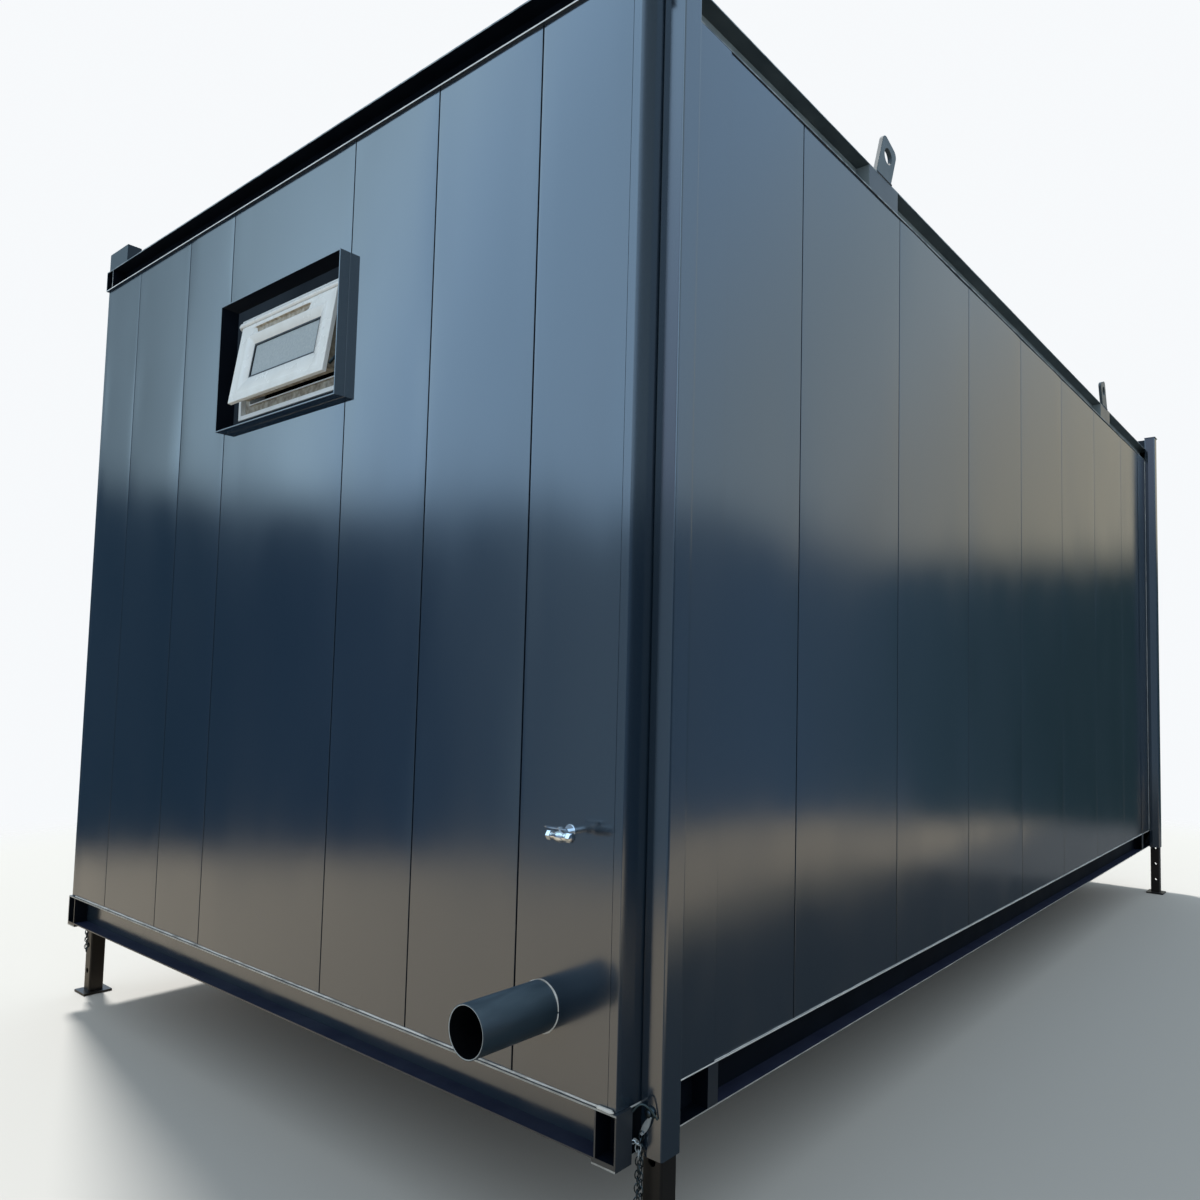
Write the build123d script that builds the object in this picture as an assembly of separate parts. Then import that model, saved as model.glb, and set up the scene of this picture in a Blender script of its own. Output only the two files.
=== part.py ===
from build123d import *
import os

# Portable site cabin on telescoping corner legs. Millimetres, +Z up.
# X runs along the cabin and Y across it. Z is 0 on the ground under the feet.
# The front end faces -X and the right side faces -Y.

# Body
cabin_length = 5300.0
body_width = 2880.0
ground_clearance = 298.0
wall_height = 2442.0
wall_thickness = 50.0

# Base and roof frame
base_rail_height = 102.0
top_rail_height = 80.0
rail_depth = 50.0
rail_gauge = 4.0
end_rail_proud = 8.0
end_pocket = 50.0
side_pocket = 317.0
pocket_cover = 36.0
shoe_length = 66.0
shoe_thickness = 10.0
joist_width = 40.0
joist_gauge = 3.0
joist_count = 8
floor_thickness = 22.0
roof_thickness = 60.0
roof_fall = 35.0
corner_block_length = 171.0
corner_block_width = 52.0
corner_block_height = 78.0
corner_block_wall = 5.0

# Corner posts, legs and pins
post_size = 62.0
post_wall = 4.5
post_corner_radius = 6.0
post_setback = 74.0
post_foot_drop = 4.0
post_rise = 65.0
post_cap_thickness = 5.0
post_cap_overhang = 4.0
leg_clearance = 0.5
leg_wall = 4.0
leg_length = 1150.0
leg_hole_radius = 10.0
leg_hole_sides = 12
leg_hole_pitch = 100.0
leg_first_hole = 78.0
leg_hole_count = 9
foot_size = 100.0
foot_thickness = 8.0
pin_radius = 8.0
pin_hole = 3
pin_reach = 12.0
pin_collar_radius = 13.0
pin_collar_length = 6.0
pin_clearance = 0.3
pin_handle_length = 45.0
pin_handle_root_width = 6.0
pin_handle_tip_width = 13.0
pin_handle_thickness = 4.0
pin_handle_shift = 6.0
pin_handle_drop = 4.0
pin_handle_turn = 30.0

# Cladding
trim_width = 340.0
trim_return = 24.0
trim_thickness = 4.0
seam_width = 5.0
seam_depth = 4.0
side_panel_width = 631.0
first_side_seam = 700.0
end_seams = (313.0, 709.0, 1100.0, 1820.0, 2145.0, 2570.0)

# Lifting lugs
lug_place = 1199.0
lug_base_length = 204.0
lug_width = 100.0
lug_length = 147.0
lug_lean = 19.5
lug_thickness = 15.0
lug_corner_radius = 22.0
lug_hole_radius = 26.0
lug_hole_place = 92.0

# Window in the front end
window_place = 1402.0
window_sill = 1704.0
window_width = 610.0
window_height = 332.0
surround_margin = 43.0
surround_reach = 62.0
surround_gauge = 4.0
surround_back = 6.0
frame_face = 50.0
frame_depth = 60.0
frame_proud = 10.0
nose_reach = 18.0
nose_height = 21.0
nose_radius = 7.0
sash_width = 553.0
sash_height = 261.0
sash_drop = 33.0
sash_front = 23.0
sash_face = 65.0
sash_bevel = 9.0
sash_tail_inset = 24.0
sash_tail_depth = 38.0
sash_gap = 0.3
sash_tilt = 8.2
glass_set_back = 15.0
glass_thickness = 20.0

# Services in the front end
pipe_radius = 55.0
pipe_wall = 3.2
pipe_reach = 205.0
pipe_place = 226.0
pipe_rise = 164.0
valve_place = 120.0
valve_rise = 548.0
valve_reach = 60.0
valve_length = 70.0
valve_radius = 7.5
valve_bore = 5.5
valve_bore_depth = 22.0
valve_nut_radius = 11.0
valve_nut_length = 12.0
valve_tail_radius = 6.0
valve_tail_place = 30.0
valve_stem_radius = 3.5
valve_stem_length = 25.0
valve_lever_length = 66.0
valve_lever_width = 11.0
valve_lever_thickness = 3.0
valve_lever_rise = 11.0

# Door in the left side
door_width = 900.0
door_height = 2030.0
door_place = 3600.0
door_frame_face = 45.0
door_leaf_thickness = 44.0
door_gap = 4.0
door_stop = 15.0
hinge_count = 3
hinge_radius = 8.0
hinge_length = 90.0
hinge_flap_width = 60.0
hinge_flap_thickness = 3.0
hinge_inset = 200.0
handle_radius = 9.0
handle_rose_radius = 24.0
handle_inset = 62.0
handle_length = 130.0
handle_width = 20.0
handle_thickness = 8.0
handle_height = 1000.0
handle_reach = 40.0

# Levels, edges and sizes worked out from those above
rail_foot = ground_clearance
wall_foot = rail_foot + base_rail_height
wall_head = wall_foot + wall_height
rail_head = wall_head + top_rail_height
mid_x = (pipe_reach - end_rail_proud) / 2
front_x = mid_x - cabin_length / 2
right_y = -body_width / 2
side_face = right_y + trim_thickness
leg_size = post_size - 2 * (post_wall + leg_clearance)
post_x = front_x + post_setback + post_size / 2
post_y = right_y - post_size / 2
post_foot = rail_foot - post_foot_drop
post_top = rail_head + post_rise
pin_level = foot_thickness + leg_first_hole + pin_hole * leg_hole_pitch
corners = {
    "front_right": (False, False),
    "front_left": (False, True),
    "rear_right": (True, False),
    "rear_left": (True, True),
}


def block(x0, x1, y0, y1, z0, z1):
    """A box from its lowest to its highest corner."""
    return Pos((x0 + x1) / 2, (y0 + y1) / 2, (z0 + z1) / 2) * Box(x1 - x0, y1 - y0, z1 - z0)


def rod(radius, length):
    """A round bar along X, centred."""
    return Rot(0, 90, 0) * Cylinder(radius, length)


def across(distance):
    """Y of a place on the front end, measured from its right edge."""
    return right_y + distance


def placed(shape, to_rear, to_left):
    """Carries a piece made at the front right corner to another corner."""
    if to_rear:
        shape = mirror(shape, about=Plane.YZ.offset(mid_x))
    if to_left:
        shape = mirror(shape, about=Plane.XZ)
    return shape


def channel(length, height, plates, covers):
    """A folded channel along Y on z = 0, its mouth towards -X, stiffened and covered in places."""
    inside = rail_depth - rail_gauge
    rail = block(0, rail_depth, -length / 2, length / 2, 0, height)
    rail -= block(0, inside, -length / 2, length / 2, rail_gauge, height - rail_gauge)
    for place in plates:
        rail += block(0, inside, place - rail_gauge / 2, place + rail_gauge / 2, rail_gauge,
                      height - rail_gauge)
    for start, end in covers:
        rail += block(0, rail_gauge, start, end, rail_gauge, height - rail_gauge)
    return rail


def end_rail(height):
    """A rail across an end, closed at its ends and stiffened beside the corners."""
    length = body_width + 2 * end_rail_proud
    closed = length / 2 - rail_gauge / 2
    stiffened = body_width / 2 - end_pocket
    return channel(length, height, (-closed, -stiffened, stiffened, closed), ())


def front_base_rail():
    """The front rail under the wall, with a shoe plate under each end."""
    rail = end_rail(base_rail_height)
    outer = body_width / 2 + end_rail_proud
    for side in (-1, 1):
        ends = sorted((side * outer, side * (outer - shoe_length)))
        rail += block(0, rail_depth, *ends, -shoe_thickness, 0)
    return Pos(front_x - end_rail_proud, 0, rail_foot) * rail


def front_top_rail():
    """The front rail over the wall."""
    return Pos(front_x - end_rail_proud, 0, wall_head) * end_rail(top_rail_height)


def side_rail(height, foot, places, covers):
    """The right rail between the end rails, the same from both ends, stiffened and covered in places."""
    length = cabin_length - 2 * (rail_depth - end_rail_proud)
    middle = cabin_length / 2
    plates = [side * (middle - place) for place in places for side in (-1, 1)]
    closed = []
    for start, end in covers:
        closed += [(start - middle, end - middle), (middle - end, middle - start)]
    return Pos(mid_x, right_y, foot) * Rot(0, 0, 90) * channel(length, height, plates, closed)


def right_base_rail():
    """The right rail under the wall, with a pocket beside each post."""
    pocket_end = side_pocket + pocket_cover
    return side_rail(base_rail_height, rail_foot, (side_pocket, pocket_end), ((side_pocket, pocket_end),))


def right_top_rail():
    """The right rail over the wall, closed under each lifting lug."""
    ends = (lug_place - lug_base_length / 2, lug_place + lug_base_length / 2)
    return side_rail(top_rail_height, wall_head, ends, (ends,))


def corner_block():
    """The steel box, open below, that stands on the end of a front top rail."""
    x0 = front_x
    y0 = right_y - end_rail_proud
    x1 = x0 + corner_block_width
    y1 = y0 + corner_block_length
    shell = block(x0, x1, y0, y1, rail_head, rail_head + corner_block_height)
    wall = corner_block_wall
    return shell - block(x0 + wall, x1 - wall, y0 + wall, y1 - wall, rail_head - 1,
                         rail_head + corner_block_height - wall)


def floor_joists():
    """Folded channels across the cabin between the side rails, evenly spaced."""
    joists = []
    x0 = front_x + rail_depth - end_rail_proud
    pitch = (cabin_length - 2 * (rail_depth - end_rail_proud)) / (joist_count + 1)
    y0 = right_y + rail_depth
    height = base_rail_height - floor_thickness
    for index in range(1, joist_count + 1):
        x = x0 + index * pitch
        joist = block(x, x + joist_width, y0, -y0, rail_foot, rail_foot + height)
        joist -= block(x + joist_gauge, x + joist_width, y0, -y0, rail_foot + joist_gauge,
                       rail_foot + height - joist_gauge)
        joists.append(joist)
    return joists


def floor_deck():
    """The floor board on the joists, flush with the top of the base rails."""
    x0 = front_x + rail_depth - end_rail_proud
    y0 = right_y + rail_depth
    return block(x0, 2 * mid_x - x0, y0, -y0, wall_foot - floor_thickness, wall_foot)


def roof_deck():
    """The roof panel between the top rails, with a shallow fall to both sides."""
    x0 = front_x + rail_depth - end_rail_proud
    y0 = right_y + rail_depth
    z0 = wall_head
    edge = z0 + roof_thickness - roof_fall
    ridge = z0 + roof_thickness
    outline = Polyline((y0, z0), (-y0, z0), (-y0, edge), (0, ridge), (y0, edge), close=True)
    section = Plane.YZ * make_face(outline)
    return Pos(x0, 0, 0) * extrude(section, cabin_length - 2 * (rail_depth - end_rail_proud))


def square_tube(size, wall, radius, z0, z1):
    """A square tube with rounded outer corners."""
    section = RectangleRounded(size, size, radius) - Rectangle(size - 2 * wall, size - 2 * wall)
    return Pos(0, 0, z0) * extrude(section, z1 - z0)


def corner_post():
    """The sleeve that a leg slides in, capped at its head and bored for its pin."""
    post = square_tube(post_size, post_wall, post_corner_radius, post_foot, post_top)
    cap = post_size + 2 * post_cap_overhang
    post += block(-cap / 2, cap / 2, -cap / 2, post_size / 2, post_top, post_top + post_cap_thickness)
    post -= Pos(-post_size / 2, 0, pin_level) * rod(pin_radius, 4 * post_wall)
    return Pos(post_x, post_y, 0) * post


def leg():
    """The square tube inside a post, with its foot plate and a row of holes cut as many-sided prisms."""
    radius = post_corner_radius - leg_clearance
    tube = square_tube(leg_size, leg_wall, radius, foot_thickness, leg_length)
    hole = extrude(Plane.YZ * RegularPolygon(leg_hole_radius, leg_hole_sides), leg_size, both=True)
    for index in range(leg_hole_count):
        tube -= Pos(0, 0, foot_thickness + leg_first_hole + index * leg_hole_pitch) * hole
    foot = block(-foot_size / 2, foot_size / 2, -foot_size / 2, foot_size / 2, 0, foot_thickness)
    return Pos(post_x, post_y, 0) * (tube + foot)


def locking_pin():
    """The pin in the outer wall of a post, with its collar and a flat tapered handle hung on its edge."""
    face = -post_size / 2
    inner_end = face + post_wall - pin_clearance
    outer_end = face - pin_reach
    pin = Pos((inner_end + outer_end) / 2, 0, 0) * rod(pin_radius - pin_clearance, inner_end - outer_end)
    pin += Pos(face - pin_collar_length / 2, 0, 0) * rod(pin_collar_radius, pin_collar_length)
    root = pin_handle_root_width / 2
    tip = pin_handle_tip_width / 2
    blade = make_face(Polyline((-root, 0), (root, 0), (tip, -pin_handle_length), (-tip, -pin_handle_length),
                               close=True))
    handle = Rot(pin_handle_turn, 0, 0) * extrude(Plane.YZ * blade, pin_handle_thickness)
    pin += Pos(outer_end, -pin_handle_shift, -pin_handle_drop) * handle
    return Pos(post_x, post_y, pin_level) * pin


def corner_trim():
    """The flashing over a corner, wide on the long side and narrow on the end."""
    side = block(front_x, front_x + trim_width, right_y, side_face, wall_foot, wall_head)
    end = block(front_x, front_x + wall_thickness, right_y, right_y + trim_return, wall_foot, wall_head)
    return side + end


def window_rectangle(margin):
    """The window's limits across and up the front end, grown by a margin."""
    centre = across(window_place)
    sill = wall_foot + window_sill
    half = window_width / 2
    return centre - half - margin, centre + half + margin, sill - margin, sill + window_height + margin


def window_ring(x0, x1, outside, inside):
    """A rectangular ring around the window between two margins."""
    return block(x0, x1, *window_rectangle(outside)) - block(x0 - 1, x1 + 1, *window_rectangle(inside))


def end_wall():
    """One end's cladding with its vertical seams, between the corner trims."""
    y0 = right_y + trim_return
    wall = block(front_x, front_x + wall_thickness, y0, -y0, wall_foot, wall_head)
    for seam in end_seams:
        y = across(seam)
        wall -= block(front_x - 1, front_x + seam_depth, y - seam_width / 2, y + seam_width / 2, wall_foot,
                      wall_head)
    return wall


def side_wall():
    """One long side's cladding with its vertical seams, between the end walls."""
    x0 = front_x + wall_thickness
    wall = block(x0, 2 * mid_x - x0, side_face, side_face + wall_thickness, wall_foot, wall_head)
    seam = first_side_seam
    while seam < cabin_length - trim_width:
        x = front_x + seam
        wall -= block(x - seam_width / 2, x + seam_width / 2, side_face - 1, side_face + seam_depth,
                      wall_foot, wall_head)
        seam += side_panel_width
    return wall


def front_right_lug():
    """A drilled lifting plate that stands on the right top rail and leans towards the middle."""
    half = lug_width / 2
    plate = block(-half, half, 0, lug_thickness, -lug_width, lug_length)
    plate = fillet(plate.edges().filter_by(Axis.Y).group_by(Axis.Z)[-1], lug_corner_radius)
    plate -= Pos(0, lug_thickness / 2, lug_hole_place) * Rot(90, 0, 0) * Cylinder(lug_hole_radius,
                                                                                 2 * lug_thickness)
    plate = Rot(0, lug_lean, 0) * plate
    plate -= block(-2 * lug_length, 2 * lug_length, -1, lug_thickness + 1, -2 * lug_length, 0)
    return Pos(front_x + lug_place, right_y, rail_head) * plate


def side_lugs(to_left):
    """The two lifting plates of one long side."""
    return [placed(front_right_lug(), to_rear, to_left) for to_rear in (False, True)]


def window_surround():
    """The folded steel box round the window, with its back plate against the wall."""
    inside = surround_margin - surround_gauge
    box = window_ring(front_x - surround_reach, front_x, surround_margin, inside)
    return box + window_ring(front_x - surround_back, front_x, inside, 0)


def window_frame():
    """The fixed frame, with the rounded nose along its head that sheds rain over the sash."""
    frame = window_ring(front_x - frame_proud, front_x - frame_proud + frame_depth, 0, -frame_face)
    y0, y1, z0, z1 = window_rectangle(0)
    foot = z1 - sash_drop + sash_gap
    nose_face = front_x - frame_proud - nose_reach
    nose = block(nose_face, front_x - frame_proud, y0, y1, foot, foot + nose_height)
    return frame + fillet(nose.edges().filter_by(Axis.Y).group_by(Axis.X)[0], nose_radius)


def sash_ring(x0, x1, inset, opening):
    """A ring of the sash, inset from its outside, behind its front face and down from its head."""
    half = sash_width / 2
    ring = block(x0, x1, inset - half, half - inset, inset - sash_height, -inset)
    return ring - block(x0 - 1, x1 + 1, opening - half, half - opening, opening - sash_height, -opening)


def hung(shape):
    """Carries a piece of the sash to the frame's head and swings its foot outwards."""
    head = wall_foot + window_sill + window_height - sash_drop
    return Pos(front_x - sash_front, across(window_place), head) * Rot(0, sash_tilt, 0) * shape


def window_sash():
    """The top-hung sash: a lip that laps the frame, a tail that fits in it and a bevelled opening."""
    lip = sash_front - frame_proud - sash_gap
    ring = sash_ring(0, lip, 0, sash_face) + sash_ring(lip, lip + sash_tail_depth, sash_tail_inset, sash_face)
    mouth = ring.faces().sort_by(Axis.X)[0].inner_wires()[0].edges()
    return hung(chamfer(mouth, sash_bevel))


def window_glass():
    """The sealed unit in the sash."""
    half = sash_width / 2 - sash_face
    return hung(block(glass_set_back, glass_set_back + glass_thickness, -half, half,
                      sash_face - sash_height, -sash_face))


def through_wall(radius, place, rise):
    """A round cutter through the front end."""
    return Pos(front_x + wall_thickness / 2, across(place), wall_foot + rise) * rod(radius, 2 * wall_thickness)


def waste_pipe():
    """The open stub of pipe that comes out through the front end."""
    length = pipe_reach + wall_thickness
    tube = rod(pipe_radius, length) - rod(pipe_radius - pipe_wall, length + 2)
    centre = front_x - pipe_reach + length / 2
    return Pos(centre, across(pipe_place), wall_foot + pipe_rise) * tube


def inlet_valve():
    """The small lever valve on the water inlet, lying along the wall with its mouth to the right."""
    half = valve_length / 2
    body = Rot(90, 0, 0) * Cylinder(valve_radius, valve_length)
    nut = extrude(RegularPolygon(valve_nut_radius, 6), valve_nut_length)
    body += Pos(0, valve_nut_length - half, 0) * Rot(90, 0, 0) * nut
    body += Pos(0, half, 0) * Rot(90, 0, 0) * nut
    body -= Pos(0, (valve_bore_depth - valve_length) / 2, 0) * Rot(90, 0, 0) * Cylinder(valve_bore,
                                                                                       valve_bore_depth)
    tail = valve_reach + wall_thickness
    body += Pos(tail / 2, valve_tail_place, 0) * rod(valve_tail_radius, tail)
    body += Pos(0, 0, valve_stem_length / 2) * Cylinder(valve_stem_radius, valve_stem_length)
    lever = extrude(SlotOverall(valve_lever_length, valve_lever_width, rotation=90), valve_lever_thickness)
    body += Pos(0, (valve_lever_length - valve_lever_width) / 2, valve_lever_rise) * lever
    return Pos(front_x - valve_reach, across(valve_place), wall_foot + valve_rise) * body


def door_rectangle(margin):
    """The door's limits along the left side and up it, grown by a margin."""
    x0 = front_x + door_place - margin
    x1 = x0 + door_width + 2 * margin
    z0 = wall_foot + door_frame_face - margin
    return x0, x1, z0, z0 + door_height + 2 * margin


def door_slab(y0, y1, margin):
    """A slab as large as the door grown by a margin."""
    x0, x1, z0, z1 = door_rectangle(margin)
    return block(x0, x1, y0, y1, z0, z1)


def door_frame():
    """The steel frame lining the doorway, with the stop that the leaf closes against."""
    y0 = -side_face - wall_thickness
    y1 = -side_face
    stop = y1 - door_leaf_thickness
    frame = door_slab(y0, y1, door_frame_face) - door_slab(stop, y1 + 1, 0)
    return frame - door_slab(y0 - 1, stop + 1, -door_stop)


def door_leaf():
    """The closed leaf in its frame."""
    y1 = -side_face
    return door_slab(y1 - door_leaf_thickness, y1, -door_gap)


def door_hinges():
    """The hinges on the outside of the doorway's rear edge, each a flap with its barrel."""
    x = front_x + door_place + door_width
    lowest = wall_foot + door_frame_face + hinge_inset
    step = (door_height - 2 * hinge_inset) / (hinge_count - 1)
    flap = Pos(0, hinge_flap_thickness / 2, 0) * Box(hinge_flap_width, hinge_flap_thickness, hinge_length)
    hinge = flap + Pos(0, hinge_radius, 0) * Cylinder(hinge_radius, hinge_length)
    return [Pos(x, -side_face, lowest + index * step) * hinge for index in range(hinge_count)]


def door_handle():
    """The lever and its rose on the leaf."""
    y = -side_face
    rose = Pos(0, handle_radius / 2, 0) * Rot(90, 0, 0) * Cylinder(handle_rose_radius, handle_radius)
    neck = Pos(0, handle_reach / 2, 0) * Rot(90, 0, 0) * Cylinder(handle_radius, handle_reach)
    lever = block(-handle_radius, handle_length - handle_radius, handle_reach - handle_thickness, handle_reach,
                  -handle_width / 2, handle_width / 2)
    x = front_x + door_place + handle_inset
    return Pos(x, y, wall_foot + door_frame_face + handle_height) * (rose + neck + lever)


def write(name, shape):
    """Saves one piece under its own name."""
    if isinstance(shape, list):
        shape = Compound(children=shape)
    export_step(shape, f"parts/{name}.step")


os.makedirs("parts", exist_ok=True)
for corner, (to_rear, to_left) in corners.items():
    write(f"{corner}_post", placed(corner_post(), to_rear, to_left))
    write(f"{corner}_leg", placed(leg(), to_rear, to_left))
    write(f"{corner}_trim", placed(corner_trim(), to_rear, to_left))
    write(f"{corner}_stacking_block", placed(corner_block(), to_rear, to_left))

front_opening = block(front_x - 1, front_x + wall_thickness + 1, *window_rectangle(0))
pipe_hole = through_wall(pipe_radius, pipe_place, pipe_rise)
valve_hole = through_wall(valve_tail_radius, valve_place + valve_tail_place, valve_rise)
write("locking_pins", [placed(locking_pin(), *sides) for sides in corners.values()])
write("front_base_rail", front_base_rail())
write("rear_base_rail", placed(front_base_rail(), True, False))
write("right_base_rail", right_base_rail())
write("left_base_rail", placed(right_base_rail(), False, True))
write("front_top_rail", front_top_rail())
write("rear_top_rail", placed(front_top_rail(), True, False))
write("right_top_rail", right_top_rail())
write("left_top_rail", placed(right_top_rail(), False, True))
write("floor_joists", floor_joists())
write("floor_deck", floor_deck())
write("roof_deck", roof_deck())
write("front_end_wall", end_wall() - front_opening - pipe_hole - valve_hole)
write("rear_end_wall", placed(end_wall(), True, False))
write("right_side_wall", side_wall())
write("left_side_wall", placed(side_wall(), False, True) - door_slab(0, body_width, door_frame_face))
write("right_lifting_lugs", side_lugs(False))
write("left_lifting_lugs", side_lugs(True))
write("window_surround", window_surround())
write("window_frame", window_frame())
write("window_sash", window_sash())
write("window_glass", window_glass())
write("waste_pipe", waste_pipe())
write("inlet_valve", inlet_valve())
write("door_frame", door_frame())
write("door_leaf", door_leaf())
write("door_hinges", door_hinges())
write("door_handle", door_handle())
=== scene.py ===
import math
import bmesh
import bpy
import numpy as np
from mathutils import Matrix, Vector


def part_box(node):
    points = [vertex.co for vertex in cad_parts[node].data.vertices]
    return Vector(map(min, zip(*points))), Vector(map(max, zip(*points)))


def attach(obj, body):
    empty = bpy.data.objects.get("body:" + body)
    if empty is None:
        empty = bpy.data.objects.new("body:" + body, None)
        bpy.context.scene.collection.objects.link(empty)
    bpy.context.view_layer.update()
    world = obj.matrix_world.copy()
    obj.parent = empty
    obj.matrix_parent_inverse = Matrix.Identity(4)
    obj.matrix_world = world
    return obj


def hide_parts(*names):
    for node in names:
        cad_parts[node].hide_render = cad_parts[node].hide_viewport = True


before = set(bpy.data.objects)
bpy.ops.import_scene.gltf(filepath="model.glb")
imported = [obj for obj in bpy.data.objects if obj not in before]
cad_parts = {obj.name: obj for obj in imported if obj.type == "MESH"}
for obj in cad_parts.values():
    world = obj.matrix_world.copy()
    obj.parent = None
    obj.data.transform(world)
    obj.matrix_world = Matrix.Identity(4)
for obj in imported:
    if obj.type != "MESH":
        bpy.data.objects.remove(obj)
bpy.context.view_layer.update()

# The cabin's own planes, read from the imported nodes. Metres, +Z up, the front end faces -X.
endLow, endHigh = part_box("front_end_wall")
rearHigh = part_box("rear_end_wall")[1]
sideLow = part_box("right_side_wall")[0]
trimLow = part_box("front_right_trim")[0]
postLow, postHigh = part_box("front_right_post")
topRailLow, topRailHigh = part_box("front_top_rail")
frontX, rearX = endLow.x, rearHigh.x
midX = (frontX + rearX) / 2
rightY, sideY = trimLow.y, sideLow.y
footZ, headZ = endLow.z, endHigh.z
cabinLength = rearX - frontX

camera = dict(place=(-3.97715, -2.69776, 1.26019), turn=(93.61623, -1.11665, -52.5131), lens=27.3071,
              shift=(-0.07409, 0.02604))
# the second tone is painted shade for the floor's other rays: beside the cabin's right side, where its shadow falls,
# and on the far ground past 5.5 m out on that side
warmTone, paintedShadeTone = (0.44, 0.385, 0.31), (0.12, 0.13, 0.14)
# upper and band tones run over the X of a mirrored direction, floor tones over the floor's Y in metres
studio = dict(
    pale=(0.93, 0.95, 0.97), dayLight=(0.84, 0.94, 1.0), dayStrength=0.82, floorPale=(0.54, 0.54, 0.53),
    floorRadius=6.9, floorInner=0.6, floorFade=1.7, floorDrop=0.0006, floorReach=8.0,
    floorTones=[(-5.5, paintedShadeTone), (-5.0, warmTone), (-3.1, warmTone), (-2.85, paintedShadeTone), (-1.6, paintedShadeTone),
        (-1.3, warmTone)],
    upperTones=[(-0.95, (0.45, 0.55, 0.78)), (-0.8, (0.8, 1.2, 1.7)), (-0.7, (0.86, 1.31, 1.84)),
        (-0.6, (0.79, 1.24, 1.78)), (-0.54, (0.95, 1.47, 2.12)), (-0.49, (1.24, 1.79, 2.28)),
        (-0.4, (0.8, 1.13, 1.38)), (-0.34, (0.32, 0.45, 0.54)), (0.3, (0.6, 0.85, 1.15)), (0.69, (0.54, 0.83, 1.2)),
        (0.8, (0.58, 0.74, 0.86)), (0.86, (0.66, 0.77, 0.83)), (0.9, (0.67, 0.68, 0.62)), (0.95, (0.65, 0.61, 0.48))],
    bandTones=[(-0.71, (0.19, 0.29, 0.41)), (-0.63, (0.08, 0.15, 0.26)), (-0.56, (0.035, 0.08, 0.17)),
        (-0.36, (0.015, 0.045, 0.09)), (0.2, (0.07, 0.12, 0.19)), (0.86, (0.11, 0.19, 0.31)),
        (0.92, (0.055, 0.11, 0.15)), (0.97, (0.018, 0.042, 0.045))],
    bandTop=(0.168, 0.221), bandFall=0.045, fallAt=(0.8, 0.88), bandWander=0.045,
    wanderNoise=(2.6, 2.0, (1, 1, 0.4)), sun=4.0, sunColor=(1.0, 0.96, 0.9), sunSpread=7.0, sunFrom=(0.236, 0.972),
    sunHeight=56.0)


def feed(slot, value):
    # links a socket to an input, or sets a plain value there
    if isinstance(value, bpy.types.NodeSocket):
        slot.id_data.links.new(value, slot)
    else:
        slot.default_value = (*value, 1.0) if slot.type == "RGBA" else value


def addNode(tree, kind, *inputs, **values):
    # a shader node with its first inputs in their order, and its settings and other inputs by name
    node = tree.nodes.new("ShaderNode" + kind)
    for index, value in enumerate(inputs):
        feed(node.inputs[index], value)
    for key, value in values.items():
        if hasattr(node, key):
            setattr(node, key, value)
        else:
            feed(node.inputs[key], value)
    return node


# span and the four functions after it find their node tree through the first socket that they are given
def span(value, fromLow, fromHigh, toLow, toHigh, curve="LINEAR"):
    # a value carried from one range to another and held at both ends
    node = addNode(value.id_data, "MapRange", value, fromLow, fromHigh, toLow, toHigh, interpolation_type=curve)
    return node.outputs[0]


def toneAlong(value, tones, reach):
    # blends (place, tone) pairs over a value that runs from -reach to reach
    node = addNode(value.id_data, "ValToRGB", span(value, -reach, reach, 0.0, 1.0))
    elements = node.color_ramp.elements
    while len(elements) < len(tones):
        elements.new(0.5)
    for element, (place, tone) in zip(elements, tones):
        element.position = (place + reach) / (2 * reach)
        element.color = (*tone, 1.0)
    return node.outputs[0]


def noise(coords, scale, detail, stretch=None):
    if stretch:
        coords = addNode(coords.id_data, "Mapping", coords, Scale=stretch).outputs[0]
    return addNode(coords.id_data, "TexNoise", coords, Scale=scale, Detail=detail).outputs["Fac"]


def blendColor(fac, first, second):
    # first and second are colours or sockets
    node = addNode(fac.id_data, "Mix", fac, data_type="RGBA")
    feed(node.inputs[6], first)
    feed(node.inputs[7], second)
    return node.outputs[2]


def combine(first, second, operation="MULTIPLY"):
    return addNode(first.id_data, "Math", first, second, operation=operation).outputs[0]


def newObject(name, data):
    piece = bpy.data.objects.new(name, data)
    bpy.context.scene.collection.objects.link(piece)
    return piece


def makeCamera():
    data = bpy.data.cameras.new("siteCamera")
    data.sensor_width = 36.0
    data.lens = camera["lens"]
    data.shift_x, data.shift_y = camera["shift"]
    data.clip_end = 200.0
    piece = newObject("siteCamera", data)
    piece.location = camera["place"]
    piece.rotation_euler = [math.radians(angle) for angle in camera["turn"]]
    bpy.context.scene.camera = piece


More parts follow.
